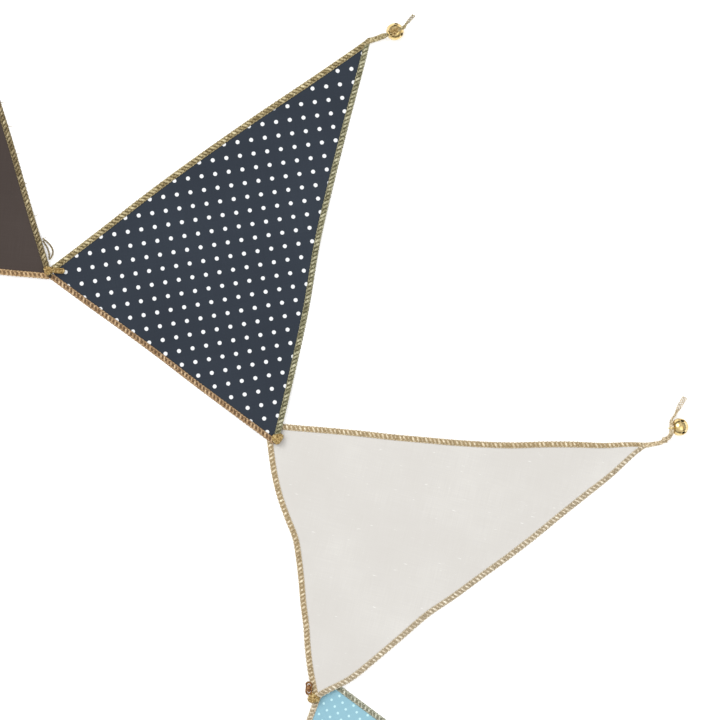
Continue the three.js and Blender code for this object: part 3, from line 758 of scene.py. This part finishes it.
def plait(line, width, pitch, opening=None, closed=False):
    """Three strands, a third of a period apart: each swings to the sides as a sine along the line, and up and
    down twice as often, so that it goes over and under the others. Opening gives how wide the plait has come
    open, and a share for each station."""
    run = np.roll(line, -1, 0) - np.roll(line, 1, 0) if closed else np.gradient(line, axis=0)
    across, upward = directions(run)
    size = STRAND_RADIUS * width
    reach_out = width / 2 - size
    if opening is not None:
        size = size * (1 - STRAND_THINS * opening[1])
        reach_out = np.maximum(reach_out, opening[1] * (opening[0] / 2 - size))
    phase = 2 * np.pi * lengths_along(line) / pitch + 2 * np.pi / 3 * np.arange(3)[:, None]
    swing = reach_out * np.sin(phase)
    hop = STRAND_HOP * width * np.sin(2 * phase)
    strands = line + swing[..., None] * across + hop[..., None] * upward
    return thread_tubes(strands, size, closed=closed)


def thread_piece(name, body, tint, nodes):
    """A piece of gold thread, from a body's points, faces and lay."""
    points, faces, lay = body
    return make_piece(name, points, faces, [THREADS[tint]], "gold_thread", nodes, lay=lay)


tails, tail_facts = {}, {}
for name, tip in TIPS.items():
    tail = TAILS[tip["tail"]]
    across = []
    if tail["over"]:
        across = [(*over_bell(tail["bell"], a), OVER_WIDTH) for a in np.linspace(*tail["over"], 9)]
    line, length = curve_through([*tail["before"], *across, *tail["after"]], 0.3)
    share = np.linspace(0, 1, len(line))
    opened = np.clip((share - OPEN_FROM) / OPEN_WITHIN, 0, 1)
    path = from_tip(PENNANTS[name], line[:, :3])
    points, faces, lay = plait(path, line[:, 3], PLAIT_PITCH, (tip["opening"], opened))
    points[:, 2] = np.maximum(points[:, 2], TABLE_GAP)
    tails[name] = thread_piece(name + "_chain", (points, faces, lay), tip["tint"], [name + "_tail"])
    route = (path + [*VIEW_MIDDLE, 0]) * MM
    tail_facts[name] = dict(route=route[::3].tolist() + [route[-1].tolist()], length=length * MM)

# Knots: the plait is drawn tight in a ball of turns, on each tail and where two pennants are tied together by
# their base corners. Each is flat where it lies. Sizes are long, wide and tall.
TIES = {
    "brown_navy": dict(at=(-178.2, 51.4), size=(6.6, 6.0, 3.9), turn=10),
    "navy_white": dict(at=(-47.4, -44.5), size=(8.0, 7.0, 4.3), turn=30),
    "white_blue": dict(at=(-26.9, -192.7), size=(8.2, 6.8, 4.2), turn=-20),
}
TIE_THREAD = 1.7
CHAIN_THREAD = 1.5
KNOT_FLAT = 0.42  # how far its flat lies under its middle, as a share of its height


def wound_knot(size, turn, thread):
    """A trefoil drawn tight: twice round the middle while it goes up and down three times, its distance from
    the middle 0.58 plus 0.42 times the cosine of three times the angle, with two plies. A core fills it."""
    half = np.array(size) / 2 - thread / 2
    t = np.linspace(0, 2 * np.pi, 97)
    ring = 0.58 + 0.42 * np.cos(3 * t)
    line = np.stack([ring * np.cos(2 * t), ring * np.sin(2 * t), np.sin(3 * t)], 1) * half
    share = np.linspace(-0.98, 0.98, 15)
    heart = np.stack([share * half[0], 0 * share, 0 * share], 1)
    core = thread_tubes([heart], np.sqrt(1 - share**2) * half[2], sides=10)
    core[0][:, 1] *= half[1] / half[2]
    points, faces, lay = joined([twisted_pair(line, thread, 2.1), core])
    points[:, 2] = np.maximum(points[:, 2], -KNOT_FLAT * size[2])
    points[:, :2] = points[:, :2] @ turned(turn)
    return points, faces, lay


for name, tie in TIES.items():
    points, faces, lay = wound_knot(tie["size"], tie["turn"], TIE_THREAD)
    points = points + [*tie["at"], CORNER_LIFT + KNOT_FLAT * tie["size"][2]]
    thread_piece(name + "_tie", (points, faces, lay), "honey", [name + "_knot"])
for name, tip in TIPS.items():
    tail = TAILS[tip["tail"]]
    knot = tail["knot"]
    height = KNOT_FLAT * knot["size"][2]
    middle = over_bell(tail["bell"], knot["on_bell"]) if "on_bell" in knot else (*knot["at"], height)
    points, faces, lay = wound_knot(knot["size"], knot["turn"], CHAIN_THREAD)
    points = from_tip(PENNANTS[name], points + np.array(middle))
    tint = "honey" if "on_bell" in knot else tip["tint"]
    thread_piece(name + "_chain_knot", (points, faces, lay), tint, [name + "_tip_knot"])

# Ends of chain that show beside the ties: one folded flat on navy's first corner, a fine loop beside brown's
# last corner, one wound round itself that stands out beside white's last corner, and hairs on brown's seam.
STRAY_LOOP = [
    (-181.1, 69.4, 3.2), (-178.6, 67.4, 1.9), (-176.3, 64.4, 0.8),
    (-175.7, 61.8, 0.6), (-176.4, 59.4, 1.6), (-177.6, 57.9, 3.0),
    (-177.8, 60.8, 1.8), (-178.8, 64.2, 2.0), (-181.2, 68.3, 3.1),
]
FOLD = dict(at=(-172.4, 51.4, 3.1), turn=-4)
WRAPPED = dict(at=(-29.5, -187.0, 4.4), turn=90)
WINDINGS = 24
HAIR_SPOTS = [0.5, 0.56, 0.62, 0.69, 0.76, 0.84, 0.9]  # shares of brown's far side, from its tip
HAIR_RADIUS = 0.24


def hoop_line(radius, straight, slope, stations):
    """A closed line of two half circles and the straights between them, sloped across."""
    angle = (np.arange(stations) + 0.5) / stations * 2 * np.pi
    long = radius * np.cos(angle) + straight / 2 * np.sign(np.cos(angle))
    return np.stack([long, radius * np.sin(angle), slope * np.sin(angle)], 1)


def wound_round(line, reach, windings):
    """A thread wound round a closed line: each place on the line plus the reach times the cosine of the
    winding's angle across and its sine upwards."""
    turn = np.linspace(0, 2 * np.pi, 721)
    marks = np.linspace(0, 2 * np.pi, len(line) + 1)
    ring = np.stack([np.interp(turn, marks, [*column, column[0]]) for column in line.T], 1)
    across, _ = directions(np.gradient(ring, axis=0))
    wind = windings * turn[:, None]
    return ring + reach * (np.cos(wind) * across + np.sin(wind) * [0, 0, 1.0])


def placed(bodies, at, turn):
    """Bodies joined, turned by degrees and then moved to a place on the table."""
    points, faces, lay = joined(bodies)
    points[:, :2] = points[:, :2] @ turned(turn)
    return points + at, faces, lay


stray_line, _ = curve_through(STRAY_LOOP, 0.25)
thread_piece("brown_corner_loop", twisted_pair(stray_line, 1.1, 1.9), "moss", ["brown_stray_loop"])

line = hoop_line(1.0, 4.2, 0.0, 72)
heart = np.linspace([-2.6, 0, 0.1], [2.6, 0, 0.1], 26)
bodies = [twisted_pair(np.concatenate([line, line[:4]]), 1.4, 2.0), twisted_pair(heart, 1.2, 1.9)]
thread_piece("brown_navy_fold_thread", placed(bodies, **FOLD), "honey", ["brown_navy_fold"])

line = hoop_line(1.4, 4.0, -0.95, 72)
heart = np.linspace([-2.3, 0, 0.2], [2.3, 0, 0.2], 12)
bodies = [
    thread_tubes([wound_round(line, 0.42, WINDINGS)], 0.24, sides=5),
    thread_tubes([line], 0.4, closed=True),
    thread_tubes([heart], 1.15 * np.sqrt(1 - np.linspace(-0.95, 0.95, 12) ** 2), sides=10),
]
thread_piece("white_wrapped_ring_thread", placed(bodies, **WRAPPED), "umber", ["white_wrapped_ring"])

brown_far = sides_of(PENNANTS["brown"])["bc"]
rng = np.random.default_rng(5)
hairs = []
for share in 1 - np.array(HAIR_SPOTS):
    travel = share * brown_far["length"]
    root = side_point(brown_far, travel, 0.4)
    past = travel + rng.uniform(-1.5, 1.5)
    hair_tip = side_point(brown_far, past, -rng.uniform(1.8, 3.0))
    bend = (root + hair_tip) / 2 + rng.uniform(-0.5, 0.5, 2)
    flat = on_table(PENNANTS["brown"], np.array([root, bend, hair_tip]))
    hair, _ = curve_through(np.c_[flat, [1.1, 1.5, 0.9]], 0.4)
    hairs.append(thread_tubes([hair], HAIR_RADIUS * np.linspace(1, 0.5, len(hair)), sides=4))
thread_piece("brown_seam_hairs", joined(hairs), "moss", [])

# Jingle bells, 10 mm across: a thin gilt shell pressed in two halves and crimped in a low seam, with two
# crossing slots that end in round holes, and a wire eye let into the top that the chain goes through.
BELL_WALL = 0.45
SLOT_WIDTH = 0.9
SLOT_HOLE = 1.1  # radius of the hole at a slot's end
SLOT_TOP = 0.6  # height of the holes over the bell's middle
LEAF_END = 0.66  # how far from the axis a leaf ends, where the slots cross
SEAM_HEIGHT = 2.0
SEAM_RISE = 0.14
SEAM_SPREAD = 0.28
EYE_WIRE = 0.45
EYE_RADIUS = 1.65


def gilt_finish():
    """Polished gilt, clouded darker and rougher in places, with a fine grain."""
    material, s = new_finish("gilt bell metal")
    place = s.node("ShaderNodeTexCoord", {}, {}, "Object")
    cloud = s.noise(place, 420.0, 4.0)
    fine = s.noise(place, 3800.0, 2.0)
    clear = s.math("MULTIPLY", cloud - 0.35, 2.6, clamp=True)
    colour = s.mix(clear, linear(196, 166, 104), linear(246, 226, 172))
    bump = s.node("ShaderNodeBump", {}, {"Strength": 0.15, "Distance": 0.00005, "Height": fine + cloud * 2})
    look = {"Base Color": colour, "Metallic": 1.0, "Roughness": cloud * 0.22 + 0.08, "Normal": bump}
    s.surface(look)
    return material


GILT = gilt_finish()
# The inside of a bell is coloured near black: painted shade inside the shell.
BELL_INSIDE_SHADE = shade_darkened_finish("bare inside of a bell", linear(26, 20, 12), linear(46, 36, 22))


def bell_shell(slots):
    """Four leaves of a ball, each a quarter turn less the half opening at its height on either side: half the
    slot's width, or the round hole's half chord. Above the holes the leaves meet. The seam is a ring whose
    rise falls off as the exponent of minus the square of the height from it."""
    hole = SLOT_TOP + SLOT_HOLE * np.sin(np.linspace(-1.2, np.pi / 2, 13))
    foot, hole_start = np.arcsin(LEAF_END / BELL_RADIUS), np.arccos(-hole[0] / BELL_RADIUS)
    low = -BELL_RADIUS * np.cos(np.linspace(foot, hole_start, 12))
    high = BELL_RADIUS * np.sin(np.linspace(np.arcsin(hole[-1] / BELL_RADIUS), np.radians(89), 18))
    heights = np.concatenate([low[:-1], hole, high[1:]])
    flat = np.sqrt(BELL_RADIUS**2 - heights**2)
    chord = np.sqrt(np.maximum(0, SLOT_HOLE**2 - (heights - SLOT_TOP) ** 2))
    opening = np.where(heights < SLOT_TOP, np.maximum(chord, SLOT_WIDTH / 2), chord)
    half = np.degrees(np.arcsin(np.minimum(opening / flat, np.sqrt(0.5))))
    rib = SEAM_RISE * np.exp(-(((heights - SEAM_HEIGHT) / SEAM_SPREAD) ** 2))
    columns = np.linspace(0, 1, 13)
    quarter = np.arange(4)[:, None, None] * 90
    azimuth = np.radians(quarter + half[:, None] + (90 - 2 * half[:, None]) * columns + slots)
    wide = (flat + rib)[:, None]
    rise = np.broadcast_to(heights[:, None], azimuth.shape)
    points = np.stack([wide * np.cos(azimuth), wide * np.sin(azimuth), rise], 3).reshape(-1, 3)
    rows, cols = len(heights), len(columns)
    q, k, i = np.meshgrid(np.arange(4), np.arange(rows - 1), np.arange(cols - 1), indexing="ij")
    at = lambda k, i: ((q * rows + k) * cols + i).ravel()
    return points, np.stack([at(k, i), at(k, i + 1), at(k + 1, i + 1), at(k + 1, i)], 1).tolist()


def bell_turned(points, bell, middle):
    """The bell's upward axis tilted to its eye's rise and turned to the eye's direction, and moved."""
    tilt = np.radians(90 - bell["rise"])
    x = points[:, 0] * np.cos(tilt) + points[:, 2] * np.sin(tilt)
    z = points[:, 2] * np.cos(tilt) - points[:, 0] * np.sin(tilt)
    flat = np.stack([x, points[:, 1]], 1) @ turned(bell["turn"])
    return np.c_[flat, z] + middle


bells = {}
for name, tip in TIPS.items():
    bell = TAILS[tip["tail"]]["bell"]
    shell, leaves = bell_shell(bell["slots"])
    angle = np.linspace(0, 2 * np.pi, 41)[:-1]
    eye_line = np.stack([0 * angle, EYE_RADIUS * np.cos(angle), EYE_HEIGHT + EYE_RADIUS * np.sin(angle)], 1)
    eye, eye_faces, _ = thread_tubes([eye_line], EYE_WIRE, sides=10, closed=True, lean=(1, 0, 0))
    eye[:, :2] = eye[:, :2] @ turned(bell["thread"])
    middle = np.array([*bell["at"], BELL_RADIUS])
    bodies = (("shell", shell, leaves, [name + "_bell"]), ("eye", eye, eye_faces, []))
    for part, body, faces, nodes in bodies:
        points = from_tip(PENNANTS[name], bell_turned(body, bell, middle))
        own_name = f"{name}_bell_{part}"
        bells[name, part] = make_piece(own_name, points, faces, [GILT, BELL_INSIDE_SHADE], "bell_gold", nodes)
    shell = bells[name, "shell"]
    weld = shell.modifiers.new("Leaves joined", "WELD")
    weld.merge_threshold = 0.00002
    wall = shell.modifiers.new("Wall", "SOLIDIFY")
    wall.thickness = BELL_WALL * MM
    wall.offset = -1
    # The wall's inner face takes the second finish, the painted shade inside the bell.
    wall.material_offset = 1

# Hanging loops: a round eye of plait at each end of the string, drawn up in a knot by the corner. A hook or
# the next string goes through it.
LOOP_OPENING = 7
LOOP_PERIODS = 6  # of its plait, a whole number, so that it closes
END_KNOT = dict(size=(6.0, 5.4, 4.0), inside=1.0)
loop_radius = (LOOP_OPENING + TAIL_WIDTH) / 2
for name, pennant, corner, (ending, starting), tint in (
    ("start_loop", PENNANTS["brown"], (0.0, 0.0), ("ca", "ab"), "copper"),
    ("end_loop", PENNANTS["blue"], (PENNANTS["blue"]["base"], 0.0), ("ab", "bc"), "grey"),
):
    sides = sides_of(pennant)
    direction = outward_angle(sides[ending], sides[starting])
    line = hoop_line(loop_radius, 0.0, 0.0, 90)
    pitch = 2 * np.pi * loop_radius / LOOP_PERIODS
    line = line + [END_KNOT["size"][0] / 2 - END_KNOT["inside"] + loop_radius, 0, TAIL_WIDTH / 2]
    eye = plait(line, TAIL_WIDTH, pitch, closed=True)
    turns, *rest = wound_knot(END_KNOT["size"], 0, TIE_THREAD)
    turns = turns + [-END_KNOT["inside"], 0, KNOT_FLAT * END_KNOT["size"][2]]
    points, faces, lay = joined([eye, (turns, *rest)])
    flat = points[:, :2] @ turned(direction) + np.array(corner)
    points = np.c_[on_table(pennant, flat), np.maximum(points[:, 2], TABLE_GAP)]
    thread_piece(name + "_plait", (points, faces, lay), tint, [name])

# The table, the light and the camera: a white painted table top under two soft boxes and an even sky, seen
# from straight above.
PIXELS = 720
VIEW_WIDTH = PIXELS * 4 / 7
CAMERA_HEIGHT = 2.6
HALF_PIXEL = VIEW_WIDTH / PIXELS / 2
view = [*((VIEW_MIDDLE + [-HALF_PIXEL, HALF_PIXEL]) * MM)]
mesh = bpy.data.meshes.new("table_top")
square = [(x + view[0], y + view[1], 0.0) for x, y in ((-3, -3), (3, -3), (3, 3), (-3, 3))]
mesh.from_pydata(square, [], [(0, 1, 2, 3)])
table_top = bpy.data.objects.new("table_top", mesh)
bpy.context.scene.collection.objects.link(table_top)
paint, s = new_finish("white table paint")
grey = s.node("ShaderNodeTexNoise", {}, {"Scale": 3.0}) * 0.01 + 0.9
look = {"Base Color": grey, "Roughness": 0.7, "Emission Color": (1, 1, 1, 1), "Emission Strength": 0.3}
s.surface(look)
mesh.materials.append(paint)

world = bpy.data.worlds.new("studio")
world.use_nodes = True
world.node_tree.nodes.clear()
s = Shade(world.node_tree)
height = s.node("ShaderNodeSeparateXYZ", {}, {0: s.node("ShaderNodeTexCoord", {}, {}, "Generated")}, "Z")
dim, half_lit, full = (0.08, 0.08, 0.085, 1), (0.34, 0.34, 0.34, 1), (1, 1, 1, 1)
sky = s.node("ShaderNodeValToRGB", {"stops": [(0.03, dim), (0.28, half_lit), (0.52, full)]}, {0: height})
s.node("ShaderNodeOutputWorld", {}, {0: s.node("ShaderNodeBackground", {}, {0: sky, 1: 0.92})})
bpy.context.scene.world = world
for name, at, size, power in (
    ("key_softbox", (-0.9, 0.8, 1.7), 1.3, 20.0),
    ("fill_softbox", (1.0, -0.6, 1.8), 1.5, 8.0),
):
    light = bpy.data.lights.new(name, "AREA")
    light.size, light.energy = size, power
    lamp = bpy.data.objects.new(name, light)
    bpy.context.scene.collection.objects.link(lamp)
    lamp.location = (view[0] + at[0], view[1] + at[1], at[2])
    beam = -np.array(at)
    tilt = np.arccos(-beam[2] / np.linalg.norm(beam))
    lamp.rotation_euler = (tilt, 0, np.arctan2(beam[1], beam[0]) - np.pi / 2)
camera = bpy.data.cameras.new("camera")
camera.sensor_width = 36
camera.lens = 36 * CAMERA_HEIGHT / (VIEW_WIDTH * MM)
camera.clip_end = 20
seen_from = bpy.data.objects.new("camera", camera)
bpy.context.scene.collection.objects.link(seen_from)
seen_from.location = (*view, CAMERA_HEIGHT)
bpy.context.scene.camera = seen_from
bpy.context.scene.view_settings.view_transform = "Standard"
